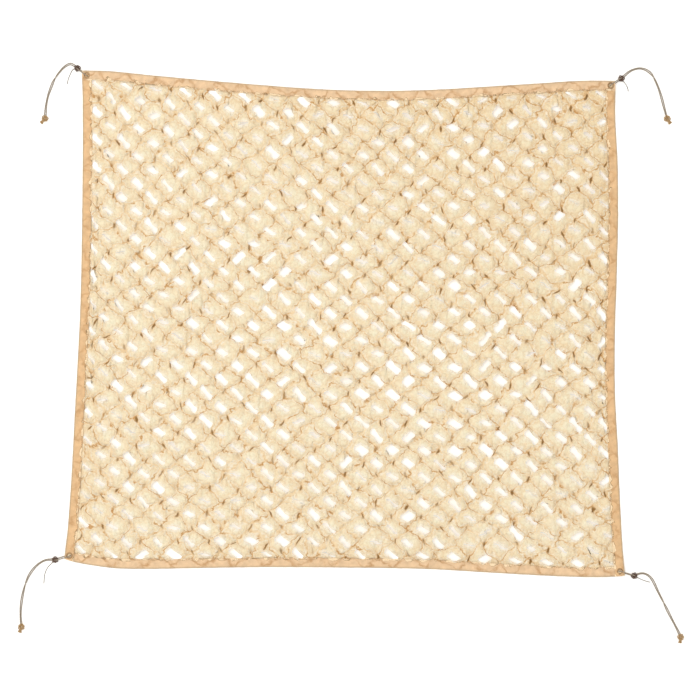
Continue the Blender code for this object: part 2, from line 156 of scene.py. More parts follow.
# The ties. One row for each, mm: its knot, the way its two strands run, its end knot, where the cut ends
# point, and the way of its thin free end.
TIES = {
    "top_left": {
        "knot": (-601, 575),
        "run": ((-608, 581), (-618, 585), (-631, 578), (-643, 565), (-654, 548),
                (-662, 529), (-668, 511), (-672, 490), (-673.5, 472)),
        "end_knot": (-674, 462),
        "cut_ends": ((-689, 456), (-686, 450), (-679, 446)),
        "free_end": ((-611, 573), (-617, 563), (-622, 551), (-624, 540)),
    },
    "top_right": {
        "knot": (622, 552),
        "run": ((629, 558), (638, 566), (649, 572), (663, 575), (677, 572), (689, 563),
                (698, 549), (706, 531), (712.5, 511), (718, 490), (723, 471)),
        "end_knot": (725, 462),
        "cut_ends": ((739, 455), (734, 450), (727, 447)),
        "free_end": ((629, 544), (634, 537), (637, 530), (638, 523)),
    },
    "bottom_left": {
        "knot": (-651, -530),
        "run": ((-661, -530), (-675, -532), (-689, -540), (-701, -552), (-711, -567), (-718, -584),
                (-723, -602), (-727, -623), (-729, -643), (-729, -661), (-728, -672)),
        "end_knot": (-727, -681),
        "cut_ends": ((-738, -691), (-732, -695), (-725, -696)),
        "free_end": ((-660, -539), (-669, -549), (-675, -564), (-677, -584)),
    },
    "bottom_right": {
        "knot": (651, -566),
        "run": ((659, -563), (670, -561), (682, -565), (693, -577), (705, -602),
                (719, -630), (733, -658), (745, -681), (752, -695)),
        "end_knot": (755.5, -704),
        "cut_ends": ((748, -718), (754, -719), (761, -718)),
        "free_end": ((660, -571), (673, -577), (687, -581)),
    },
}
CUT_END = ((1, 4.5), (4, 4.2), (7.5, 2.6), (11, 1.5), (14, 1.35))     # distance from the knot and height, mm

FLOOR_SIZE = 30                # so large that its edge is past every view


# ---------------------------------------------------------------- settings

def length_setting(name, description, default, least, most):
    """A length among the settings, in metres."""
    return bpy.props.FloatProperty(
        name=name, description=description, default=default, min=least, max=most, unit="LENGTH",
    )


def colour_setting(name, description, default):
    """A colour among the settings, as sRGB hex."""
    return bpy.props.StringProperty(name=name, description="sRGB hex of " + description, default=default)


def seed_setting(default):
    """The start of random draws."""
    return bpy.props.IntProperty(name="Seed", description="Start of the random draws", default=default)


class NetSettings(bpy.types.PropertyGroup):
    """Sizes and colours of the net's cloth."""

    cut_pitch: length_setting("Cut pitch", "Width of half a repeat in the cut cloth", 0.041, 0.02, 0.1)
    cut_row: length_setting("Cut row", "Distance between rows of slits in the cut cloth", 0.0256, 0.01, 0.06)
    swing: length_setting("Slit swing", "How far the bends of a slit stand off its line", 0.0035, 0.0, 0.03)
    slant: length_setting("Slit slant", "How far each end of a slit stands off its row", 0.005, 0.0, 0.03)
    puff: length_setting("Puff", "How high the cloth stands round its gaps", 0.0075, 0.0, 0.03)
    frames: bpy.props.IntProperty(
        name="Settling frames", description="Frames for which the pulled cloth is left to settle",
        default=10, min=1, max=100,
    )
    seed: seed_setting(11)
    colour: colour_setting("Cloth colour", "the plain sand-coloured polyester", "FFE8C7")


class BindingSettings(bpy.types.PropertyGroup):
    """Sizes and colours of the binding and its eyelets."""

    tape_width: length_setting("Tape width", "Width of the tape once it is folded", 0.021, 0.01, 0.05)
    stitch: length_setting("Stitch", "Length of one stitch", 0.0034, 0.001, 0.01)
    seed: seed_setting(5)
    colour: colour_setting("Side tape colour", "the tape at the sides", "E3BA89")
    thin_colour: colour_setting("Thin tape colour", "the thinner tape along the top and bottom", "E8C49A")
    thread: colour_setting("Thread colour", "the sewing thread", "96764C")
    metal: colour_setting("Eyelet colour", "the lacquered eyelets", "A98660")


class TieSettings(bpy.types.PropertyGroup):
    """Sizes and colours of the corner ties."""

    cord: length_setting("Cord", "Diameter of the tie cord", 0.0025, 0.001, 0.006)
    thin_cord: length_setting("Thin cord", "Diameter of the free end", 0.0016, 0.0005, 0.004)
    lay: length_setting("Lay", "Length of one full turn of the cord's plies", 0.00755, 0.003, 0.03)
    colour: colour_setting("Cord colour", "the tie cord", "9E907E")
    knot_colour: colour_setting("Knot colour", "the knots at the eyelets", "6A5244")
    end_knot_colour: colour_setting("End knot colour", "the knots at the ends of the ties", "B8976A")
    thin_colour: colour_setting("Twine colour", "the thin free ends", "7A7062")


# ---------------------------------------------------------------- shapes

def reach_along(line):
    """The length of a line up to each of its points."""
    return np.concatenate([[0.0], np.cumsum(np.linalg.norm(np.diff(line, axis=0), axis=1))])


def ways_along(line):
    """The unit direction of a line at each of its points."""
    ahead = np.gradient(line, axis=0)
    return ahead / np.linalg.norm(ahead, axis=1)[:, None]


def noise_at(read, columns, rows, scale, layer):
    """Smooth noise at pairs of values, of the kind that read gives: one value or a vector."""
    noise.seed_set(NOISE_SEED)     # unseeded, the vectors differ each time Blender starts
    return np.array([read((scale * column, scale * row, layer)) for column, row in zip(columns, rows)])


class SmoothCurve:
    """A smooth curve through the given points, read by the share of its length."""

    STEPS = 24

    def __init__(self, points):
        knots = np.array(points, float)
        knots = np.vstack([2 * knots[0] - knots[1], knots, 2 * knots[-1] - knots[-2]])
        share = np.arange(self.STEPS)[:, None] / self.STEPS
        spans = [self.between(*knots[i:i + 4], share) for i in range(len(knots) - 3)]
        self.points = np.vstack([*spans, knots[-2]])
        self.reach = reach_along(self.points)
        self.length = self.reach[-1]

    @staticmethod
    def between(before, start, end, after, share):
        """A Catmull-Rom curve's points between start and end."""
        slope = (end - before) * share
        bend = (2 * before - 5 * start + 4 * end - after) * share ** 2
        twist = (3 * start - before - 3 * end + after) * share ** 3
        return start + 0.5 * (slope + bend + twist)

    def at(self, share):
        """The points at shares, 0 to 1, of the curve's length."""
        wanted = np.clip(share, 0, 1) * self.length
        return np.stack([np.interp(wanted, self.reach, axis) for axis in self.points.T], axis=-1)


TOP, BOTTOM, LEFT, RIGHT = (
    SmoothCurve(np.array(edge) * MM) for edge in (TOP_EDGE, BOTTOM_EDGE, LEFT_EDGE, RIGHT_EDGE)
)


def place(s, t):
    """Where points of the square lay-out lie in the pulled net, as x and y."""
    u = np.asarray(s)[..., None] / WIDTH
    v = np.asarray(t)[..., None] / HEIGHT
    across = TOP.at(u[..., 0]) * v + BOTTOM.at(u[..., 0]) * (1 - v)
    upward = RIGHT.at(v[..., 0]) * u + LEFT.at(v[..., 0]) * (1 - u)
    top_corners = TOP.at(1.0) * u + TOP.at(0.0) * (1 - u)
    bottom_corners = BOTTOM.at(1.0) * u + BOTTOM.at(0.0) * (1 - u)
    return across + upward - top_corners * v - bottom_corners * (1 - v)


def lift(s, t):
    """How far the ties lift points: fully at a corner, and not at all beyond the first repeat of slits."""
    share = 1.0
    for reach, length in ((np.asarray(s), WIDTH), (np.asarray(t), HEIGHT)):
        from_end = np.minimum(reach, length - reach)
        slope_end = length / CELLS
        share = share * np.clip((slope_end - from_end) / (slope_end - LIFT_START), 0, 1)
    return CORNER_LIFT * share


def linear(colour_hex):
    """A linear colour from an sRGB hex value."""
    channels = [int(colour_hex[i:i + 2], 16) / 255 for i in (0, 2, 4)]
    return (*[c / 12.92 if c <= 0.04045 else ((c + 0.055) / 1.055) ** 2.4 for c in channels], 1.0)


def shade(colour, factor):
    """A linear colour made darker or lighter."""
    return (*[min(channel * factor, 1.0) for channel in colour[:3]], 1.0)


def lay_grid(bm, columns, rows):
    """A grid of quads with its lines at the given columns and rows, returned as verts by (column, row)."""
    made = bmesh.ops.create_grid(
        bm, x_segments=len(columns) - 1, y_segments=len(rows) - 1, size=0.5, calc_uvs=False,
    )
    crossing = {}
    for vert in made["verts"]:
        column = round((vert.co.x + 0.5) * (len(columns) - 1))
        row = round((vert.co.y + 0.5) * (len(rows) - 1))
        vert.co = (columns[column], rows[row], 0)
        crossing[column, row] = vert
    return crossing


def add_piece(name, data, finish, slot, *nodes):
    """Link a finished mesh as a piece of the net that rides with it and stands for the given nodes."""
    data.materials.clear()
    data.materials.append(finish)
    piece = bpy.data.objects.new(name, data)
    bpy.context.scene.collection.objects.link(piece)
    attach(piece, BODY)
    if nodes:
        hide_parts(*nodes)
    return piece


def vertex_places(data):
    """The places of a mesh's vertices, one row for each."""
    places = np.empty(3 * len(data.vertices), np.float32)
    data.vertices.foreach_get("co", places)
    return places.reshape(-1, 3)


def mesh_from(name, bm):
    """A mesh from a bmesh, which is freed."""
    data = bpy.data.meshes.new(name)
    bm.to_mesh(data)
    bm.free()
    data.shade_smooth()
    return data


# ---------------------------------------------------------------- materials

def new_material(name):
    """A material of that name, its node tree, and its Principled shader."""
    made = bpy.data.materials.new(name)
    made.use_nodes = True
    return made, made.node_tree, made.node_tree.nodes["Principled BSDF"]


def add_node(tree, kind, inputs=(), **settings):
    """Add a node with its settings, and its inputs as pairs of a socket and a value or another's output."""
    node = tree.nodes.new(kind)
    for key, value in settings.items():
        setattr(node, key, value)
    for socket, value in inputs:
        if isinstance(value, bpy.types.NodeSocket):
            tree.links.new(value, node.inputs[socket])
        else:
            node.inputs[socket].default_value = value
    return node


def mottled(tree, colour, patches, low, high):
    """Output for a colour that noise makes darker and lighter."""
    return add_node(tree, "ShaderNodeMix", [
        ("Factor", patches.outputs["Fac"]), (6, shade(colour, low)), (7, shade(colour, high)),
    ], data_type="RGBA").outputs[2]


def layered(tree, tone, layers):
    """Output for a colour with others laid over it, each given by its share and its sRGB hex value."""
    for share, other in layers:
        tone = add_node(tree, "ShaderNodeMix", [
            ("Factor", share), (6, tone), (7, linear(other)),
        ], data_type="RGBA").outputs[2]
    return tone


def cell_pattern(tree):
    """Outputs for the pattern of puffed cells, which the cells UV map has one of at every whole number.

    They are the distance from a cell's outline, the pits where four cells meet, which take a painted shadow,
    the cloth round about the pits, which takes painted shade, and the noise that bends the outlines.
    CELL_JITTER moves each cell.
    """
    lattice = add_node(tree, "ShaderNodeUVMap", uv_map="cells").outputs["UV"]
    wander = add_node(tree, "ShaderNodeTexNoise", [
        ("Vector", lattice), ("Scale", 2.6), ("Detail", 3.0),
    ], noise_dimensions="2D")
    moved = []
    for bend, offset in ((0.56, -0.28), (0.2, 0.4)):
        bent = add_node(tree, "ShaderNodeVectorMath", [
            (0, wander.outputs["Color"]), (1, (bend, bend, 0)), (2, lattice),
        ], operation="MULTIPLY_ADD").outputs["Vector"]
        moved.append(add_node(tree, "ShaderNodeVectorMath", [
            (0, bent), (1, (CELL_JITTER / 2 + offset,) * 2 + (0,)),
        ], operation="ADD").outputs["Vector"])
    at_gaps, at_pits = moved
    outline = add_node(tree, "ShaderNodeTexVoronoi", [
        ("Vector", at_gaps), ("Scale", 1.0), ("Randomness", CELL_JITTER),
    ], voronoi_dimensions="2D", feature="DISTANCE_TO_EDGE").outputs["Distance"]
    pit = add_node(tree, "ShaderNodeTexVoronoi", [
        ("Vector", at_pits), ("Scale", 1.0), ("Randomness", CELL_JITTER),
    ], voronoi_dimensions="2D", feature="F1")
    away = add_node(tree, "ShaderNodeVectorMath", [
        (0, at_pits), (1, pit.outputs["Position"]),
    ], operation="SUBTRACT").outputs["Vector"]
    # The map's axes run diagonally: half a repeat is 33.6 mm across and 30.3 mm up. A pit, a painted shadow
    # where the cloth folds, is a slot about 4 mm wide and 12 mm high, leaning by a random amount.
    wide, high = 0.0336 / 0.0022, 0.0303 / 0.0064
    across, upward = [
        add_node(tree, "ShaderNodeVectorMath", [
            (0, away), (1, way),
        ], operation="DOT_PRODUCT").outputs["Value"]
        for way in ((wide, wide, 0), (high, -high, 0))
    ]
    random_parts = add_node(tree, "ShaderNodeSeparateColor", [("Color", pit.outputs["Color"])])
    lean = add_node(tree, "ShaderNodeMapRange", [
        ("Value", random_parts.outputs["Red"]), ("To Min", -2.2), ("To Max", 1.4),
    ]).outputs["Result"]
    leant = add_node(tree, "ShaderNodeMath", [
        (0, upward), (1, lean), (2, across),
    ], operation="MULTIPLY_ADD").outputs[0]
    from_middle = add_node(tree, "ShaderNodeCombineXYZ", [("X", leant), ("Y", upward)]).outputs[0]
    distance = add_node(tree, "ShaderNodeVectorMath", [
        (0, from_middle),
    ], operation="LENGTH").outputs["Value"]
    inside = add_node(tree, "ShaderNodeMapRange", [
        ("Value", distance), ("From Min", 0.55), ("From Max", 1.25), ("To Min", 1.0), ("To Max", 0.0),
    ]).outputs["Result"]
    depth = add_node(tree, "ShaderNodeMapRange", [
        ("Value", random_parts.outputs["Green"]), ("From Max", 0.8), ("To Min", 0.05), ("To Max", 1.0),
    ]).outputs["Result"]
    pits = add_node(tree, "ShaderNodeMath", [(0, inside), (1, depth)], operation="MULTIPLY").outputs[0]
    # Painted shade spreading round each pit.
    round_about = add_node(tree, "ShaderNodeMapRange", [
        ("Value", distance), ("From Min", 0.8), ("From Max", 2.6), ("To Min", 0.35), ("To Max", 0.0),
    ]).outputs["Result"]
    pit_shade_spread = add_node(tree, "ShaderNodeMath", [
        (0, round_about), (1, depth),
    ], operation="MULTIPLY").outputs[0]
    return outline, pits, pit_shade_spread, wander.outputs["Fac"]


def woven_polyester(colour_hex):
    """Plain-woven polyester, dyed sand: matt, with a fine thread grain, painted shade in its folds, creases
    and pits, and painted light near its gaps and along the turned-down edges of its cells.
    """
    made, tree, shader = new_material("woven_polyester")
    flat = add_node(tree, "ShaderNodeUVMap", uv_map="flat").outputs["UV"]
    spot = add_node(tree, "ShaderNodeTexCoord").outputs["Object"]
    outline, pits, shade_round_pits, uneven = cell_pattern(tree)
    patches = add_node(tree, "ShaderNodeTexNoise", [
        ("Vector", spot), ("Scale", 100.0), ("Detail", 4.0), ("Roughness", 0.7),
    ])
    ruffled = add_node(tree, "ShaderNodeVectorMath", [
        (0, patches.outputs["Color"]), (1, (0.02,) * 3), (2, spot),
    ], operation="MULTIPLY_ADD").outputs["Vector"]
    facets = add_node(tree, "ShaderNodeTexVoronoi", [
        ("Vector", ruffled), ("Scale", 62.0), ("Randomness", 1.0),
    ], feature="DISTANCE_TO_EDGE").outputs["Distance"]
    crumple_line = add_node(tree, "ShaderNodeMapRange", [
        ("Value", facets), ("From Max", 0.07), ("To Min", 0.4), ("To Max", 0.0),
    ]).outputs["Result"]
    strength = add_node(tree, "ShaderNodeMapRange", [
        ("Value", uneven), ("From Min", 0.44), ("From Max", 0.6), ("To Min", 0.0), ("To Max", 1.0),
    ]).outputs["Result"]
    near_outline = add_node(tree, "ShaderNodeMapRange", [
        ("Value", outline), ("From Max", 0.04), ("To Min", 1.0), ("To Max", 0.0),
    ]).outputs["Result"]
    # Painted shade where the cloth is crowded: it darkens the cloth and deepens the painted creases, pits and
    # outlines.
    bunched_shade = add_node(tree, "ShaderNodeAttribute", attribute_name="bunched_shade").outputs["Fac"]
    crease_shade_depth = add_node(tree, "ShaderNodeMath", [
        (0, bunched_shade), (1, 0.4), (2, 0.9),
    ], operation="MULTIPLY_ADD").outputs[0]
    # Painted shade in the fine crease lines between crumpled facets.
    crease_shade = add_node(tree, "ShaderNodeMath", [
        (0, crumple_line), (1, crease_shade_depth),
    ], operation="MULTIPLY", use_clamp=True).outputs[0]
    # Painted shade where the cloth is crowded.
    darker = add_node(tree, "ShaderNodeMath", [(0, bunched_shade), (1, 0.4)], operation="MULTIPLY").outputs[0]
    outline_shade_strength = add_node(tree, "ShaderNodeMath", [
        (0, darker), (1, strength),
    ], operation="ADD", use_clamp=True).outputs[0]
    # Painted shade along the cells' outlines, where the cloth creases.
    outline_shade = add_node(tree, "ShaderNodeMath", [
        (0, near_outline), (1, outline_shade_strength),
    ], operation="MULTIPLY").outputs[0]
    pit_shadow_depth = add_node(tree, "ShaderNodeMath", [
        (0, bunched_shade), (1, 0.7), (2, 1.0),
    ], operation="MULTIPLY_ADD").outputs[0]
    # Painted shadow in the pits where the cloth folds at the slit ends.
    pit_shadow = add_node(tree, "ShaderNodeMath", [
        (0, pits), (1, pit_shadow_depth),
    ], operation="MULTIPLY", use_clamp=True).outputs[0]
    # Painted light on the cloth near the lips of the gaps.
    lip = add_node(tree, "ShaderNodeAttribute", attribute_name="lip").outputs["Fac"]
    tone = mottled(tree, linear(colour_hex), patches, 0.9, 1.18)
    # Painted highlight on a thin band just inside each cell's outline.
    hem = add_node(tree, "ShaderNodeMath", [
        (0, outline), (1, 0.085), (2, 0.026),
    ], operation="COMPARE").outputs[0]
    painted_highlight = add_node(tree, "ShaderNodeMath", [
        (0, hem), (1, patches.outputs["Fac"]),
    ], operation="MULTIPLY").outputs[0]
    pale = add_node(tree, "ShaderNodeMath", [(0, lip), (1, 0.9)], operation="MULTIPLY").outputs[0]
    # Painted shade in the valleys between cells: browner from each cell's top down to its outline.
    valley_shade = add_node(tree, "ShaderNodeMapRange", [
        ("Value", outline), ("From Min", 0.02), ("From Max", 0.36), ("To Min", 0.55), ("To Max", 0.0),
    ]).outputs["Result"]
    # Painted shade and painted light laid over the cloth's own mottled colour:
    tone = layered(tree, tone, (
        (valley_shade, "F6D09A"),       # painted shade, browner from the top of a cell out to its outline
        # painted shade where the cloth is crowded
        (darker, "ECC68C"),
        (painted_highlight, "FFF5E0"),     # an interrupted painted highlight just inside the outline, where the cloth turns down
        # painted light near the gaps' lips
        (pale, "FFF6E4"),
        # painted shade in the crumple creases
        (crease_shade, "DCAE70"),
        # painted shade along the cell outlines
        (outline_shade, "C48A44"),
        # painted shade round the pits
        (shade_round_pits, "E4AA62"),
        # painted shadow in the pits
        (pit_shadow, "966C30"),
    ))
    tree.links.new(tone, shader.inputs["Base Color"])
    # Threads 0.9 mm apart, twice the real spacing, so that they show close up.
    threads = [
        add_node(tree, "ShaderNodeTexWave", [
            ("Vector", flat), ("Scale", math.tau / 20 / 0.0009), ("Distortion", 0.4), ("Detail", 1.0),
        ], wave_type="BANDS", bands_direction=way).outputs["Fac"]
        for way in ("X", "Y")
    ]
    weave = add_node(tree, "ShaderNodeMath", [
        (0, threads[0]), (1, threads[1]),
    ], operation="MULTIPLY").outputs[0]
    creases = add_node(tree, "ShaderNodeTexNoise", [
        ("Vector", spot), ("Scale", 190.0), ("Detail", 4.0), ("Distortion", 0.8),
    ]).outputs["Fac"]
    crowned = add_node(tree, "ShaderNodeMapRange", [
        ("Value", outline), ("From Max", 0.2),
    ], interpolation_type="SMOOTHSTEP").outputs["Result"]
    sunk = add_node(tree, "ShaderNodeMath", [(0, crowned), (1, pits)], operation="SUBTRACT").outputs[0]
    # The cells' puff, their folds, the fine crumples and the weave: height, strength and distance of each.
    reliefs = ((sunk, 0.42, 0.004), (facets, 0.6, 0.006), (creases, 0.9, 0.003), (weave, 0.35, 0.0002))
    below = []
    for height, share, distance in reliefs:
        relief = add_node(tree, "ShaderNodeBump", [
            ("Height", height), ("Strength", share), ("Distance", distance), *below,
        ])
        below = [("Normal", relief.outputs["Normal"])]
    tree.links.new(relief.outputs["Normal"], shader.inputs["Normal"])
    shader.inputs["Roughness"].default_value = 0.8
    shader.inputs["Sheen Weight"].default_value = 0.15
    return made


def folded_tape(name, colour_hex, shown):
    """Plain-woven tape, folded and ironed: paler where its hem laps in uneven folds, with painted shade
    greying its outer edge and a painted shadow line along the edges of those folds.

    The net's cell outlines show through it as lines of painted shade, as strongly as shown says.
    """
    made, tree, shader = new_material(name)
    spot = add_node(tree, "ShaderNodeTexCoord").outputs["Object"]
    outline, _, _, uneven = cell_pattern(tree)
    patches = add_node(tree, "ShaderNodeTexNoise", [("Vector", spot), ("Scale", 90.0), ("Detail", 4.0)])
    near_outline = add_node(tree, "ShaderNodeMapRange", [
        ("Value", outline), ("From Max", 0.12), ("To Min", shown), ("To Max", 0.0),
    ]).outputs["Result"]
    strength = add_node(tree, "ShaderNodeMapRange", [
        ("Value", uneven), ("From Min", 0.35), ("From Max", 0.6), ("To Min", 0.3), ("To Max", 1.0),
    ]).outputs["Result"]
    # Painted shade: the net's cell outlines, seen through the tape.
    outline_shade = add_node(tree, "ShaderNodeMath", [
        (0, near_outline), (1, strength),
    ], operation="MULTIPLY").outputs[0]
    # Painted shade greying the tape along its folded outer edge.
    rim_shade = add_node(tree, "ShaderNodeAttribute", attribute_name="rim_shade").outputs["Fac"]
    overlap = add_node(tree, "ShaderNodeAttribute", attribute_name="overlap").outputs["Fac"]
    by_cell = add_node(tree, "ShaderNodeMath", [
        (0, outline), (1, 1.5), (2, overlap),
    ], operation="MULTIPLY_ADD").outputs[0]
    by_noise = add_node(tree, "ShaderNodeMath", [
        (0, uneven), (1, 3.0), (2, by_cell),
    ], operation="MULTIPLY_ADD").outputs[0]
    fold = add_node(tree, "ShaderNodeMapRange", [
        ("Value", by_noise), ("From Min", 2.6), ("From Max", 2.75),
    ]).outputs["Result"]
    # Painted shadow: an interrupted dark line along the edges of the paler folds.
    fold_edge = add_node(tree, "ShaderNodeMath", [
        (0, by_noise), (1, 2.55), (2, 0.15),
    ], operation="COMPARE").outputs[0]
    spaced = add_node(tree, "ShaderNodeMapRange", [
        ("Value", patches.outputs["Fac"]), ("From Min", 0.42), ("From Max", 0.62), ("To Min", 0.0),
        ("To Max", 0.75),
    ]).outputs["Result"]
    fold_edge_shade = add_node(tree, "ShaderNodeMath", [(0, fold_edge), (1, spaced)], operation="MULTIPLY").outputs[0]
    tone = mottled(tree, linear(colour_hex), patches, 0.7, 1.24)
    # The mottled tape colour, paler folds, then painted shade from the net's outlines, along the outer edge
    # and along the fold edges.
    tone = layered(tree, tone, ((fold, "F8DDB4"), (outline_shade, "B07A3E"), (rim_shade, "B49C7C"), (fold_edge_shade, "8A6C44")))
    tree.links.new(tone, shader.inputs["Base Color"])
    creases = add_node(tree, "ShaderNodeTexNoise", [("Vector", spot), ("Scale", 200.0), ("Detail", 3.0)])
    crumple = add_node(tree, "ShaderNodeBump", [
        ("Height", creases.outputs["Fac"]), ("Strength", 0.8), ("Distance", 0.002),
    ])
    tree.links.new(crumple.outputs["Normal"], shader.inputs["Normal"])
    shader.inputs["Roughness"].default_value = 0.75
    return made


def fibrous(name, colour_hex, scale, low, high, roughness):
    """A finish of dull fibres, whose colour noise of that scale makes darker and lighter."""
    made, tree, shader = new_material(name)
    spot = add_node(tree, "ShaderNodeTexCoord").outputs["Object"]
    fibres = add_node(tree, "ShaderNodeTexNoise", [("Vector", spot), ("Scale", scale)])
    tree.links.new(mottled(tree, linear(colour_hex), fibres, low, high), shader.inputs["Base Color"])
    shader.inputs["Roughness"].default_value = roughness
    return made


def sewing_thread(colour_hex):
    """Spun polyester thread, a little glossier than the tape."""
    return fibrous("sewing_thread", colour_hex, 900.0, 0.8, 1.2, 0.6)


def laid_cord(name, colour_hex):
    """Laid polyester cord: three plies of dull fibre."""
    return fibrous(name, colour_hex, 700.0, 0.7, 1.3, 0.85)


def lacquered_brass(colour_hex):
    """Stamped brass under brown lacquer: darkened, with a low gloss."""
    made, _, shader = new_material("lacquered_brass")
    shader.inputs["Base Color"].default_value = linear(colour_hex)
    shader.inputs["Metallic"].default_value = 0.6
    shader.inputs["Roughness"].default_value = 0.35
    return made


# ---------------------------------------------------------------- the net

def openness(column, row):
    """How far the cloth is pulled open there, 0 to 1: most right of the middle, least at the upper right."""
    across = column / HALF_REPEATS
    up = row / HALF_REPEATS
    left = max(1 - 2.2 * across, 0)
    middle = max(1 - math.hypot((across - 0.62) / 0.55, (up - 0.42) / 0.36), 0)
    tight = max(across + up - 1.1, 0) * 0.9
    uneven = noise.noise(Vector((0.16 * column, 0.16 * row, 4.2)))
    return min(max(0.4 + 0.1 * left + 0.7 * middle - 0.25 * tight + 0.5 * uneven, 0), 1)


def slit_table(net, chance):
    """Every slit, by its half repeat and row: its columns each way, its swing, and half its gap's height.

    Most slits open. The tighter the cloth, the more of them stay nearly shut.
    """
    table = {}
    for row in range(1, HALF_REPEATS):
        for column in range(2 - row % 2, HALF_REPEATS, 2):
            wide = openness(column, row) + chance.gauss(0, 0.3)
            reach = 4 + (wide > 0.25) + (wide > 1.0)
            way = -1 if chance.random() < 0.1 else 1
            nearly_shut = 0.25 if chance.random() < 0.2 - 0.15 * wide else 1
            height = 4.8 + 6.8 * (wide + chance.gauss(0, 0.35))
            gap = nearly_shut * min(max(height, LEAST_GAP), MOST_GAP) * MM
            table[column, row] = (reach, way * net.swing * chance.uniform(0.2, 1.5), gap)
    return table


def swing_on_row(slits, row, across, net):
    """How far the line of a row of slits stands off at each place across, in half repeats."""
    offset = np.zeros_like(across)
    ends = [(0.0, 0.0)]
    for column in range(1, HALF_REPEATS):
        if (column, row) in slits:
            reach, swing, _ = slits[column, row]
            part = (across - column) * COLUMNS / reach
            offset += np.where(np.abs(part) < 1, -np.sin(np.pi * part) * swing, 0)
            way = net.slant * swing / net.swing
            ends += [(column - reach / COLUMNS, way), (column + reach / COLUMNS, -way)]
    ends.append((HALF_REPEATS, 0.0))
    return offset + np.interp(across, *np.array(ends).T)


def cut_cloth(net, slits):
    """The cloth with its slits, as a bmesh, with each vert's column, row and how far it swings."""
    bm = bmesh.new()
    column_of = bm.verts.layers.int.new("column")
    row_of = bm.verts.layers.int.new("row")
    crossing = lay_grid(bm, range(HALF_REPEATS * COLUMNS + 1), range(HALF_REPEATS * ROWS + 1))
    for (column, row), vert in crossing.items():
        vert[column_of] = column
        vert[row_of] = row
    cuts = []
    for (middle, row), (reach, _, _) in slits.items():
        for column in range(middle * COLUMNS - reach, middle * COLUMNS + reach):
            pair = (crossing[column, row * ROWS], crossing[column + 1, row * ROWS])
            from_left = column * WIDTH / (HALF_REPEATS * COLUMNS)
            from_right = WIDTH - (column + 1) * WIDTH / (HALF_REPEATS * COLUMNS)
            if min(from_left, from_right) >= PINNED:
                cuts.append(bm.edges.get(pair))
    bmesh.ops.split_edges(bm, edges=cuts)
    columns = np.array([vert[column_of] for vert in bm.verts]) / COLUMNS
    rows = np.array([vert[row_of] for vert in bm.verts]) / ROWS
    swings = np.zeros(len(columns))
    for row in range(HALF_REPEATS + 1):
        near = np.clip(1 - np.abs(rows - row), 0, 1)
        chosen = near > 0
        swings[chosen] += near[chosen] * swing_on_row(slits, row, columns[chosen], net)
    return bm, columns, rows, swings


def settle(name, bm, start, flat, pinned, frames):
    """Let the cloth settle from its start shape, with its flat shape as its rest, and held where pinned."""
    data = bpy.data.meshes.new(name)
    bm.to_mesh(data)
    bm.free()
    cloth = bpy.data.objects.new(name, data)
    bpy.context.scene.collection.objects.link(cloth)
    data.vertices.foreach_set("co", start.astype(np.float32).ravel())
    cloth.shape_key_add(name="pulled", from_mix=False)
    rest = cloth.shape_key_add(name="flat", from_mix=False)
    rest.data.foreach_set("co", flat.astype(np.float32).ravel())
    held = cloth.vertex_groups.new(name="held")
    held.add([int(index) for index in np.flatnonzero(pinned)], 1.0, "REPLACE")
    # Cloth reads its rest shape only behind a modifier that builds mesh: this one does, and splits nothing.
    splits_nothing = cloth.modifiers.new("splits_nothing", "EDGE_SPLIT")
    splits_nothing.use_edge_angle = False
    splits_nothing.use_edge_sharp = False
    settings = cloth.modifiers.new("settling", "CLOTH").settings
    settings.quality = 4
    settings.mass = 0.003
    settings.air_damping = 2.0
    against = (("tension", 15, 1), ("compression", 15, 1), ("shear", 5, 1), ("bending", 0.01, 0.1))
    for strain, stiffness, damping in against:
        setattr(settings, strain + "_stiffness", stiffness)
        setattr(settings, strain + "_damping", damping)
    settings.vertex_group_mass = "held"
    settings.rest_shape_key = rest
    settings.effector_weights.gravity = 0
    for step in range(1, frames + 1):
        bpy.context.scene.frame_set(step)
    graph = bpy.context.evaluated_depsgraph_get()
    settled = bpy.data.meshes.new_from_object(cloth.evaluated_get(graph), depsgraph=graph)
    bpy.data.objects.remove(cloth)
    bpy.context.scene.frame_set(1)
    return settled


def open_gaps(slits, columns, rows, settled):
    """Draw the lips of each slit to the height of its gap. Gives each vert's move, and how near a lip it is,
    which sets the painted light along the lips.

    A gap is highest to one side of its middle above and to the other below, so it is a leaning diamond.
    """
    at = {}
    for number, key in enumerate(zip(np.round(columns * COLUMNS), np.round(rows * ROWS))):
        at.setdefault(key, []).append(number)
    moved = np.zeros_like(settled)
    lip = np.zeros(len(settled))
    for (middle, row), (reach, swing, gap) in slits.items():
        start, end = [settled[at[middle * COLUMNS + side * reach, row * ROWS][0], 1] for side in (-1, 1)]
        apex = swing / 10 / MM
        for step in range(1 - reach, reach):
            column = middle * COLUMNS + step
            lips = sorted(at[column, row * ROWS], key=lambda number: settled[number, 1])
            if len(lips) < 2:
                continue
            part = step / reach
            line = 0.6 * (start + (end - start) * (part + 1) / 2) + 0.4 * settled[lips, 1].mean()
            for number, side in zip(lips, (-1, 1)):
                height = gap * min((1 + part) / (1 - side * apex), (1 - part) / (1 + side * apex))
                drawn = line + side * height - settled[number, 1]
                for beyond in range(ROWS):
                    share = 1 - beyond / ROWS
                    other = number if beyond == 0 else at[column, row * ROWS + side * beyond][0]
                    moved[other, 1] += drawn * share
                    lip[other] = max(lip[other], 1 - beyond / LIP_ROWS)
    return moved, lip


def in_lattice(s, t):
    """Lay-out places in half repeats, moved about a little, so that the cells round the gaps differ."""
    columns = s / WIDTH * HALF_REPEATS
    rows = t / HEIGHT * HALF_REPEATS
    moved = noise_at(noise.noise_vector, columns, rows, 0.7, 3.3)
    return columns + 0.24 * moved[:, 0], rows + 0.24 * moved[:, 1]


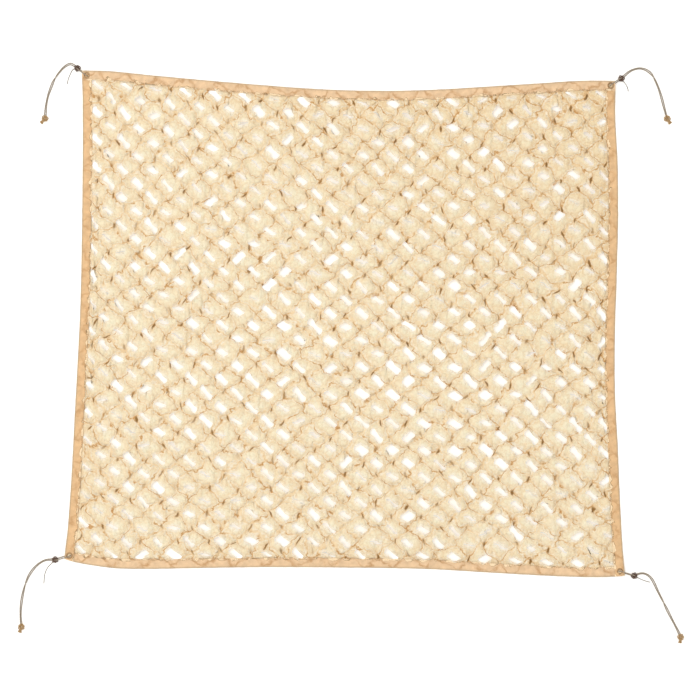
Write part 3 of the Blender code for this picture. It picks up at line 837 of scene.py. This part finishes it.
def cell_heights(seed, columns, rows):
    """How high the cloth stands at places in the lattice, 0 to 1: in a rounded cell about each gap."""
    draws = np.random.default_rng(seed)
    shape = (HALF_REPEATS + 2 * SPARE_CELLS + 1,) * 2
    crown = draws.uniform(0.7, 1.15, shape)
    turns = np.radians(draws.normal(-14, 10, shape))
    middle_column = np.round(columns).astype(int)
    middle_row = np.round(rows).astype(int)
    highest = np.zeros(len(columns))
    for step_column in range(-2, 3):
        for step_row in range(-2, 3):
            column = np.clip(middle_column + step_column, -SPARE_CELLS, HALF_REPEATS + SPARE_CELLS)
            row = np.clip(middle_row + step_row, -SPARE_CELLS, HALF_REPEATS + SPARE_CELLS)
            cell = (column + SPARE_CELLS, row + SPARE_CELLS)
            away_x = (columns - column) * WIDTH / HALF_REPEATS
            away_y = (rows - row) * HEIGHT / HALF_REPEATS
            cosine, sine = np.cos(turns[cell]), np.sin(turns[cell])
            along = (away_x * cosine + away_y * sine) / CELL_ALONG
            across = (away_y * cosine - away_x * sine) / CELL_ACROSS
            height = crown[cell] * np.sqrt(np.clip(1 - along ** 2 - across ** 2, 0, 1))
            highest = np.where((column + row) % 2 == 0, np.maximum(highest, height), highest)
    return highest


def map_onto(data, name, values):
    """Give a mesh a UV map with a pair of values for each of its vertices."""
    corner_of = np.empty(len(data.loops), np.int32)
    data.loops.foreach_get("vertex_index", corner_of)
    layer = data.uv_layers.new(name=name)
    layer.data.foreach_set("uv", values[corner_of].astype(np.float32).ravel())


def map_cells(data, columns, rows):
    """Give a mesh the cells UV map, which has a cell's gap at every whole number."""
    map_onto(data, "cells", np.column_stack([(columns + rows) / 2, (columns - rows) / 2]))


def add_values(data, name, values):
    """Give a mesh a value for each of its vertices."""
    data.attributes.new(name, "FLOAT", "POINT").data.foreach_set("value", values.astype(np.float32))


def make_net(net, finish):
    """The slit cloth: cut flat, pulled to the outline, and left to settle into its gaps and curls."""
    chance = random.Random(net.seed)
    slits = slit_table(net, chance)
    bm, columns, rows, swings = cut_cloth(net, slits)
    from_edge = np.minimum.reduce([columns, HALF_REPEATS - columns, rows, HALF_REPEATS - rows])
    fade = np.clip(from_edge / 1.2, 0, 1)
    flat = np.column_stack([
        columns * net.cut_pitch, rows * net.cut_row + swings * fade, np.zeros(len(columns)),
    ])
    s = columns * WIDTH / HALF_REPEATS
    row_height = HEIGHT / HALF_REPEATS
    t = rows * row_height + swings * fade * row_height / net.cut_row
    edge_reach = np.minimum.reduce([s, WIDTH - s, t, HEIGHT - t])
    inner = np.clip((edge_reach - PINNED) / (0.5 * row_height), 0, 1)
    inner = inner * inner * (3 - 2 * inner)
    rim_height = TAPE_THICKNESS / 2 + lift(s, t)
    # The start is uneven in height and strays sideways, and does neither at the binding.
    waves = noise_at(noise.noise, columns, rows, 1.3, 0.5)
    jitter = np.array([chance.uniform(-1, 1) for _ in columns])
    strayed = noise_at(noise.noise_vector, columns, rows, 0.55, 8.1) * inner[:, None] * 9 * MM
    height = rim_height + inner * (6 * MM * waves + 0.9 * MM * jitter)
    start = np.column_stack([place(s + strayed[:, 0], t + strayed[:, 1]), height])
    data = settle("net_cloth", bm, start, flat, edge_reach <= PINNED, net.frames)

    settled = vertex_places(data)
    drawn, lip = open_gaps(slits, columns, rows, settled)
    settled += drawn
    moved = settled - start
    cell_columns, cell_rows = in_lattice(s + moved[:, 0], t + moved[:, 1])
    # Half of the height that the cloth has settled to stays, on top of the puff round each gap.
    curl = (settled[:, 2] - rim_height) * 0.5
    puffed = NET_LOW + 2 * MM + net.puff * cell_heights(net.seed, cell_columns, cell_rows) + curl
    settled[:, 2] = np.clip(rim_height * (1 - inner) + puffed * inner, NET_LOW, NET_HIGH)
    data.vertices.foreach_set("co", settled.ravel())
    # The cloth is bunched towards its top right corner, and along the binding. There its colour takes painted
    # shade: darker, with deeper painted creases, pits and outlines.
    across, up = columns / HALF_REPEATS, rows / HALF_REPEATS
    bunched_shade = np.clip((across + up - 1.15) * 0.9, 0, 1) + 0.6 * np.clip(1 - (from_edge - 0.6) / 1.4, 0, 1)
    add_values(data, "bunched_shade", bunched_shade)
    add_values(data, "lip", lip)
    map_onto(data, "flat", flat[:, :2])
    map_cells(data, cell_columns, cell_rows)
    data.shade_smooth()
    return add_piece("net_sheet", data, finish, "net_cloth", "net")


# ---------------------------------------------------------------- the binding

SIDES = ("top", "bottom", "left", "right")


def on_side(side, along, inward):
    """Points of the lay-out (s, t) that lie along a side and in from it."""
    if side == "top":
        return along, HEIGHT - inward
    if side == "bottom":
        return along, inward
    if side == "left":
        return inward, along
    return WIDTH - inward, along


def side_length(side):
    """A side's length in the square lay-out."""
    return WIDTH if side in ("top", "bottom") else HEIGHT


def cut_back(side, tape_width):
    """How far a side's tape stops short of the lay-out's corners, at its start and its end."""
    short = tape_width + SEAM_GAP
    return {"top": (0, 0), "bottom": (short, short), "left": (0, short), "right": (0, short)}[side]


def tape_profile(width):
    """The folded tape's section from its lower inner edge round the fold to its upper one: inward, up."""
    fold = (TAPE_THICKNESS - TAPE_PLY) / 2
    lower = [(inward, -fold) for inward in np.linspace(width, 2.6 * MM, 8)]
    turns = np.radians(np.linspace(-90, 90, 7))[1:-1]
    round_fold = [(TAPE_THICKNESS / 2 - fold * math.cos(turn), fold * math.sin(turn)) for turn in turns]
    upper = [(inward, fold) for inward in np.linspace(1.6 * MM, width, 17)]
    return np.array(lower + round_fold + upper)


def make_tape(side, binding, finish):
    """A side's tape, folded over the net's edge, puckered by its stitches, with the net's folds under it."""
    profile = tape_profile(binding.tape_width)
    length = side_length(side)
    cut_start, cut_end = cut_back(side, binding.tape_width)
    count = round(length / TAPE_STEP)
    along = np.linspace(cut_start, length - cut_end, count + 1)
    bm = bmesh.new()
    column_of = bm.verts.layers.int.new("column")
    row_of = bm.verts.layers.int.new("row")
    for (column, row), vert in lay_grid(bm, range(count + 1), range(len(profile))).items():
        vert[column_of] = column
        vert[row_of] = row
    columns = np.array([vert[column_of] for vert in bm.verts])
    rows = np.array([vert[row_of] for vert in bm.verts])
    reach = along[columns]
    inward, up = profile[rows].T
    # The tape's edges waver. The length of a side's name gives each side its own stretch of noise.
    waver = np.array([noise.noise((70 * at, 3.1 * len(side), 1.7)) for at in along])[columns] * 0.7 * MM
    inner_waver = np.array([
        2.2 * noise.noise((45 * at, 5.3 * len(side), 9.2))
        + 1.4 * noise.noise((130 * at, 5.3 * len(side), 4.4))
        for at in along
    ])[columns] * MM
    to_corner = reach if cut_start == 0 else np.full_like(reach, np.inf)
    if cut_end == 0:
        to_corner = np.minimum(to_corner, length - reach)
    past = np.clip(CORNER_ROUND - to_corner, 0, CORNER_ROUND)
    rounding = CORNER_ROUND - np.sqrt(CORNER_ROUND ** 2 - past ** 2)
    share = 1 - inward / binding.tape_width
    inward = inward + (rounding + waver) * share + inner_waver * (1 - share) ** 3
    s, t = on_side(side, reach, inward)
    cell_columns, cell_rows = in_lattice(s, t)
    top_ply = (up > 0) * np.clip(inward / (4 * MM), 0, 1)
    pucker = noise_at(noise.noise, s, t, 90, 7.7)
    relief = (1.0 * pucker + 0.7 * cell_heights(binding.seed, cell_columns, cell_rows)) * MM * top_ply
    seam = np.exp(-((inward - binding.tape_width + SEAM_INSET) / (0.9 * MM)) ** 2) * 0.35 * MM * np.sign(up)
    height = TAPE_THICKNESS / 2 + lift(s, t) + up + relief - seam
    points = np.column_stack([place(s, t), height])
    for corner in EYELET_CORNERS:
        centre = np.array(eyelet_centre(corner))
        away = points[:, :2] - centre
        distance = np.linalg.norm(away, axis=1)
        near = (distance > HOLE_LEAST) & (distance < HOLE_MOST)
        points[near, :2] = centre + away[near] / distance[near, None] * EYELET_BARREL
    for vert, point in zip(bm.verts, points):
        vert.co = point
    centres = [Vector(eyelet_centre(corner)) for corner in EYELET_CORNERS]
    holes = [
        face for face in bm.faces
        if min((face.calc_center_median().xy - centre).length for centre in centres) < HOLE_CUT
    ]
    rim_shade = bm.verts.layers.float.new("rim_shade")
    overlap = bm.verts.layers.float.new("overlap")
    number_of = bm.verts.layers.int.new("number")
    # Painted shade along the folded outer edge, fading inward.
    greyed = np.exp(-(inward / (2.6 * MM)) ** 2)
    lapped = np.clip((inward - binding.tape_width + 7.5 * MM) / (6.5 * MM), -3, 1)
    for number, vert in enumerate(bm.verts):
        vert[rim_shade] = greyed[number]
        vert[overlap] = lapped[number]
        vert[number_of] = number
    bmesh.ops.delete(bm, geom=holes, context="FACES")
    kept = [vert[number_of] for vert in bm.verts]
    data = mesh_from("binding_" + side + "_tape", bm)
    map_cells(data, cell_columns[kept], cell_rows[kept])
    piece = add_piece(data.name, data, finish, "binding_tape", "binding_" + side)
    thickness = piece.modifiers.new("ply", "SOLIDIFY")
    thickness.thickness = TAPE_PLY
    thickness.offset = 0
    return piece


def make_stitches(side, binding, finish):
    """A side's row of lock stitches, each a small spindle lying in the tape's upper ply."""
    length = side_length(side)
    cut_start, cut_end = cut_back(side, binding.tape_width)
    spacing = binding.stitch + STITCH_GAP
    bm = bmesh.new()
    first = max(cut_start, binding.tape_width if side in ("left", "right") else 3 * MM)
    last = length - max(cut_end, 3 * MM)
    count = int((last - first) / spacing)
    for number in range(count):
        at = first + (number + 0.5) * spacing
        s, t = on_side(side, at, binding.tape_width - SEAM_INSET)
        middle = place(s, t)
        ahead = place(*on_side(side, at + MM, binding.tape_width - SEAM_INSET)) - middle
        turn = math.atan2(ahead[1], ahead[0])
        level = TAPE_THICKNESS - 0.12 * MM + float(lift(s, t))
        spot = Matrix.Translation((*middle, level)) @ Matrix.Rotation(turn, 4, "Z")
        size = Matrix.Diagonal((binding.stitch / 2, 0.42 * MM, 0.36 * MM, 1))
        bmesh.ops.create_uvsphere(bm, u_segments=6, v_segments=4, radius=1, matrix=spot @ size)
    name = "stitches_" + side
    return add_piece(name, mesh_from(name, bm), finish, "binding_tape")


# ---------------------------------------------------------------- the eyelets

def eyelet_centre(corner):
    """Where a corner's eyelet sits."""
    up, across = corner.split("_")
    s = EYELET_INSET if across == "left" else WIDTH - EYELET_INSET
    t = HEIGHT - EYELET_INSET if up == "top" else EYELET_INSET
    return place(s, t)


def make_eyelet(corner, finish):
    """A two-part eyelet: its rolled flanges press the tape between them round a smooth barrel."""
    ring = list(EYELET_SECTION)
    ring += [(reach, -height) for reach, height in reversed(EYELET_SECTION)]
    bm = bmesh.new()
    verts = [bm.verts.new((reach * MM, 0, height * MM)) for reach, height in ring]
    edges = [bm.edges.new((vert, verts[number - 1])) for number, vert in enumerate(verts)]
    bmesh.ops.spin(
        bm, geom=verts + edges, cent=(0, 0, 0), axis=(0, 0, 1), angle=math.tau, steps=40, use_merge=True,
    )
    bmesh.ops.remove_doubles(bm, verts=bm.verts, dist=0.005 * MM)
    bmesh.ops.recalc_face_normals(bm, faces=bm.faces)
    middle = Vector((*eyelet_centre(corner), CORNER_LIFT + TAPE_THICKNESS / 2))
    bmesh.ops.translate(bm, vec=middle, verts=bm.verts)
    name = "eyelet_" + corner + "_ring"
    return add_piece(name, mesh_from(name, bm), finish, "eyelet_metal", "eyelet_" + corner)


# ---------------------------------------------------------------- the ties

def frames_along(line):
    """Two directions across each point of a line, that follow its bends without turning about it."""
    ahead = ways_along(line)
    across = np.empty_like(line)
    side = np.cross(ahead[0], (0.0, 0.0, 1.0))
    if np.linalg.norm(side) < 0.1:     # the line starts straight up or down
        side = np.cross(ahead[0], (0.0, 1.0, 0.0))
    for number, way in enumerate(ahead):
        side = side - way * np.dot(side, way)
        side = side / np.linalg.norm(side)
        across[number] = side
    return across, np.cross(ahead, across)


def laid_plies(line, diameter, lay, spread=None):
    """The lines of the three plies of a cord that follows a line. spread opens them at each point."""
    reach = reach_along(line)
    across, up = frames_along(line)
    apart = PLY_OUT * diameter * (1 if spread is None else spread[:, None])
    plies = []
    for number in range(3):
        turn = (math.tau * (reach / lay + number / 3))[:, None]
        plies.append(line + apart * (np.cos(turn) * across + np.sin(turn) * up))
    return plies


def tubes(name, lines, radius):
    """A mesh of round tubes along lines, closed at their ends."""
    curve = bpy.data.curves.new(name, "CURVE")
    curve.dimensions = "3D"
    curve.bevel_depth = radius
    curve.bevel_resolution = 1
    curve.use_fill_caps = True
    for line in lines:
        spline = curve.splines.new("POLY")
        spline.points.add(len(line) - 1)
        rows = np.column_stack([line, np.ones(len(line))])
        spline.points.foreach_set("co", rows.astype(np.float32).ravel())
    drawn = bpy.data.objects.new(name, curve)
    bpy.context.scene.collection.objects.link(drawn)
    graph = bpy.context.evaluated_depsgraph_get()
    data = bpy.data.meshes.new_from_object(drawn.evaluated_get(graph), depsgraph=graph)
    bpy.data.objects.remove(drawn)
    bpy.data.curves.remove(curve)
    data.name = name
    data.shade_smooth()
    return data


def even_line(points, step):
    """A smooth line through points, with its own points a step apart."""
    curve = SmoothCurve(points)
    count = max(round(curve.length / step), 4)
    return curve.at(np.linspace(0, 1, count + 1))


def loop_half(eyelet, knot, way):
    """Half of the loop: from inside the eyelet, over the tape (way 1) or under it (way -1), to the knot."""
    length = np.linalg.norm(knot - eyelet)
    ahead = (knot - eyelet) / length
    side = np.array((-ahead[1], ahead[0]))
    middle = CORNER_LIFT + TAPE_THICKNESS / 2
    rows = []
    for step in range(4):
        turn = math.pi - math.pi / 2 * step / 3
        reach = LOOP_CENTRE + LOOP_RADIUS * math.cos(turn)
        rows.append((reach, way * step / 3, middle + way * LOOP_RADIUS * math.sin(turn)))
    rows.append((9 * MM, way, middle + way * LOOP_RADIUS))
    rows += [(length - short * MM, share, height * MM) for short, share, height in LOOP_ENDS[way]]
    half_gap = STRAND_APART * 0.9
    return [(*(eyelet + ahead * reach + side * half_gap * share), height) for reach, share, height in rows]


def climb(reach, rest):
    """How far a cord that rests at a height stands above it, at distances from its knot."""
    return (KNOT_ENTRY - rest) * np.maximum(1 - reach / KNOT_CLIMB, 0) ** 2


def ground_line(points, diameter, number, way):
    """One strand of the two that lie along the ground through points, and cross once on the way."""
    flat = even_line(points, 4 * MM)
    reach = reach_along(flat)
    ahead = ways_along(flat)
    side = np.column_stack([-ahead[:, 1], ahead[:, 0]])
    middle = reach[-1] * (0.42 + 0.04 * number)
    turn = math.pi / (1 + np.exp(-(reach - middle) / (7 * MM)))
    apart = STRAND_APART * (1 + 0.25 * np.sin(reach / (11 * MM) + number))
    rest = diameter / 2 + OFF_GROUND
    rise = climb(np.minimum(reach, reach[-1] - reach), rest)
    height = rest + rise + apart * np.abs(np.sin(turn)) + way * apart * np.sin(turn)
    return np.column_stack([flat + side * (way * apart * np.cos(turn))[:, None], height])


def knot_lines(middle, size, seed):
    """The two windings of a pulled-tight overhand knot, the second a little smaller and turned."""
    turn = np.linspace(0, math.tau, 73)
    lines = []
    for number, scale in enumerate((size / 3.0, size / 3.3)):
        angle = turn + 0.12 * number
        x = np.sin(angle) + 2 * np.sin(2 * angle)
        y = np.cos(angle) - 2 * np.cos(2 * angle)
        z = -np.sin(3 * angle) * (2.5 - 0.7 * number) * MM
        turned = seed + number * math.pi / 3
        cosine, sine = math.cos(turned), math.sin(turned)
        lines.append(np.column_stack([
            middle[0] + scale * (x * cosine - y * sine), middle[1] + scale * (x * sine + y * cosine),
            KNOT_MIDDLE + z,
        ]))
    return lines


def make_knot(corner, part, middle, size, cut_ends, ties, finish):
    """A knot of the doubled cord, with its cut ends."""
    seed = 1.7 * EYELET_CORNERS.index(corner) + len(part)
    plies = []
    for line in knot_lines(middle, size, seed):
        plies += laid_plies(line, ties.cord, ties.lay)
    main_way = np.mean(cut_ends, axis=0) * MM - middle if cut_ends else None
    for target in cut_ends:
        way = 0.45 * (np.array(target) * MM - middle) + 0.55 * main_way
        way /= np.linalg.norm(way)
        rows = [(*(middle + way * reach * MM), height * MM) for reach, height in CUT_END]
        line = even_line(rows, 0.9 * MM)
        spread = 1 + 0.9 * np.clip(np.linspace(-1.6, 1, len(line)), 0, 1)
        plies += laid_plies(line, ties.cord, ties.lay, spread)
    name = "tie_" + corner + "_" + part
    data = tubes(name + "_turns", plies, PLY_RADIUS * ties.cord)
    places = vertex_places(data)
    places[:, 2] = np.maximum(places[:, 2], OFF_GROUND)
    data.vertices.foreach_set("co", places.ravel())
    return add_piece(data.name, data, finish, "knot_cord", name)


def make_cord(name, line, diameter, ties, finish, slot, far_end, on_it, *nodes):
    """A laid cord along a line."""
    plies = laid_plies(line, diameter, ties.lay)
    piece = add_piece(name, tubes(name, plies, PLY_RADIUS * diameter), finish, slot, *nodes)
    return piece


def make_tie(corner, ties, cord_finish, knot_finish, end_knot_finish, thin_finish):
    """A corner's tie: two strands from the eyelet to the end knot, two knots, and a thin free end."""
    row = TIES[corner]
    name = "tie_" + corner + "_"
    knot_at = np.array(row["knot"]) * MM
    end_at = np.array(row["end_knot"]) * MM
    eyelet = eyelet_centre(corner)
    knot = make_knot(corner, "knot", knot_at, 6.8 * MM, (), ties, knot_finish)
    end_knot = make_knot(corner, "end_knot", end_at, 6.9 * MM, row["cut_ends"], ties, end_knot_finish)
    run = [knot_at, *(np.array(row["run"]) * MM), end_at]
    number = EYELET_CORNERS.index(corner)
    for strand, way in (("a", 1), ("b", -1)):
        ground = ground_line(run, ties.cord, number, way)
        rows = loop_half(eyelet, knot_at, way) + [tuple(point) for point in ground[2:]]
        line = even_line(rows, 0.85 * MM)
        nodes = [name + "strand_" + strand] + [name + "link"] * (way > 0)
        make_cord(name + "cord_" + strand, line, ties.cord, ties, cord_finish, "tie_cord", "knot",
                  [knot, end_knot], *nodes)
    free = [knot_at, *(np.array(row["free_end"]) * MM)]
    flat = even_line(free, 3 * MM)
    rest = ties.thin_cord / 2 + OFF_GROUND
    height = rest + climb(reach_along(flat), rest)
    line = even_line(np.column_stack([flat, height]), 0.6 * MM)
    make_cord(name + "thin_end", line, ties.thin_cord, ties, thin_finish, "thin_cord", "bare", (),
              name + "free_end")


# ---------------------------------------------------------------- the stage

def make_stage():
    """A plain pale floor, even light from all round, a large key lamp, and the camera straight above."""
    scene = bpy.context.scene
    scene.view_settings.view_transform = "Standard"
    bm = bmesh.new()
    bmesh.ops.create_grid(bm, x_segments=1, y_segments=1, size=FLOOR_SIZE)
    floor = bpy.data.objects.new("floor", mesh_from("floor", bm))
    scene.collection.objects.link(floor)
    finish, _, shader = new_material("matt_white_board")
    shader.inputs["Base Color"].default_value = (0.92, 0.9, 0.86, 1)
    shader.inputs["Roughness"].default_value = 0.9
    shader.inputs["Emission Color"].default_value = (1, 1, 1, 1)
    shader.inputs["Emission Strength"].default_value = 0.27
    floor.data.materials.append(finish)

    world = bpy.data.worlds.new("soft_room")
    world.use_nodes = True
    light = world.node_tree.nodes["Background"]
    light.inputs["Color"].default_value = (1, 1, 1, 1)
    light.inputs["Strength"].default_value = 0.888
    scene.world = world
    lamp = bpy.data.lights.new("key", "AREA")
    lamp.energy = 90
    lamp.size = 2.4
    key = bpy.data.objects.new("key", lamp)
    key.location = (-2.2, 0.9, 5.2)
    key.rotation_euler = (-key.location).to_track_quat("-Z", "Y").to_euler()
    scene.collection.objects.link(key)

    lens = bpy.data.cameras.new("view")
    lens.lens = 85
    lens.sensor_width = 36
    camera = bpy.data.objects.new("view", lens)
    camera.location = (0.0120, -0.0585, 3.72)
    scene.collection.objects.link(camera)
    scene.camera = camera


class CAMONET_OT_stage(bpy.types.Operator):
    """Set up the floor, the light and the camera"""

    bl_idname = "camonet.stage"
    bl_label = "Stage"

    def execute(self, context):
        make_stage()
        return {"FINISHED"}


class CAMONET_OT_binding(bpy.types.Operator):
    """Fold and sew the binding along the four sides, and press in the eyelets"""

    bl_idname = "camonet.binding"
    bl_label = "Binding and eyelets"

    def execute(self, context):
        binding = context.scene.camonet_binding
        plain = folded_tape("folded_side_tape", binding.colour, 0.5)
        thin = folded_tape("folded_thin_tape", binding.thin_colour, 0.7)
        thread = sewing_thread(binding.thread)
        metal = lacquered_brass(binding.metal)
        for side in SIDES:
            make_tape(side, binding, plain if side in ("left", "right") else thin)
            make_stitches(side, binding, thread)
        for corner in EYELET_CORNERS:
            make_eyelet(corner, metal)
        return {"FINISHED"}


class CAMONET_OT_ties(bpy.types.Operator):
    """Tie a doubled cord into each eyelet"""

    bl_idname = "camonet.ties"
    bl_label = "Ties"

    def execute(self, context):
        ties = context.scene.camonet_ties
        cord = laid_cord("laid_tie_cord", ties.colour)
        knotted = laid_cord("dark_knotted_cord", ties.knot_colour)
        end_knotted = laid_cord("pale_knotted_cord", ties.end_knot_colour)
        thin = laid_cord("thin_twine", ties.thin_colour)
        for corner in EYELET_CORNERS:
            make_tie(corner, ties, cord, knotted, end_knotted, thin)
        return {"FINISHED"}


class CAMONET_OT_net(bpy.types.Operator):
    """Cut, pull and settle the net's cloth"""

    bl_idname = "camonet.net"
    bl_label = "Net"

    def execute(self, context):
        net = context.scene.camonet_net
        piece = make_net(net, woven_polyester(net.colour))
        return {"FINISHED"}


class CAMONET_PT_panel(bpy.types.Panel):
    """The steps and sizes of the net"""

    bl_idname = "CAMONET_PT_panel"
    bl_label = "Camouflage net"
    bl_space_type = "VIEW_3D"
    bl_region_type = "UI"
    bl_category = "Net"

    def draw(self, context):
        for step in ("stage", "ties", "binding", "net"):
            self.layout.operator("camonet." + step)
        for group in SETTINGS:
            settings = getattr(context.scene, group)
            column = self.layout.column()
            for name in settings.__annotations__:
                column.prop(settings, name)


CLASSES = (
    NetSettings, BindingSettings, TieSettings, CAMONET_OT_stage, CAMONET_OT_ties, CAMONET_OT_binding,
    CAMONET_OT_net, CAMONET_PT_panel,
)
SETTINGS = {"camonet_net": NetSettings, "camonet_binding": BindingSettings, "camonet_ties": TieSettings}


def register():
    """Register the classes, and hang the settings on the scene."""
    for made in CLASSES:
        bpy.utils.register_class(made)
    for name, kind in SETTINGS.items():
        setattr(bpy.types.Scene, name, bpy.props.PointerProperty(type=kind))


def unregister():
    """Take the settings and the classes away again."""
    for name in SETTINGS:
        delattr(bpy.types.Scene, name)
    for made in reversed(CLASSES):
        bpy.utils.unregister_class(made)


def main():
    """Make every piece in order."""
    register()
    bpy.ops.camonet.stage()
    bpy.ops.camonet.ties()
    bpy.ops.camonet.binding()
    bpy.ops.camonet.net()


if __name__ == "__main__":
    main()
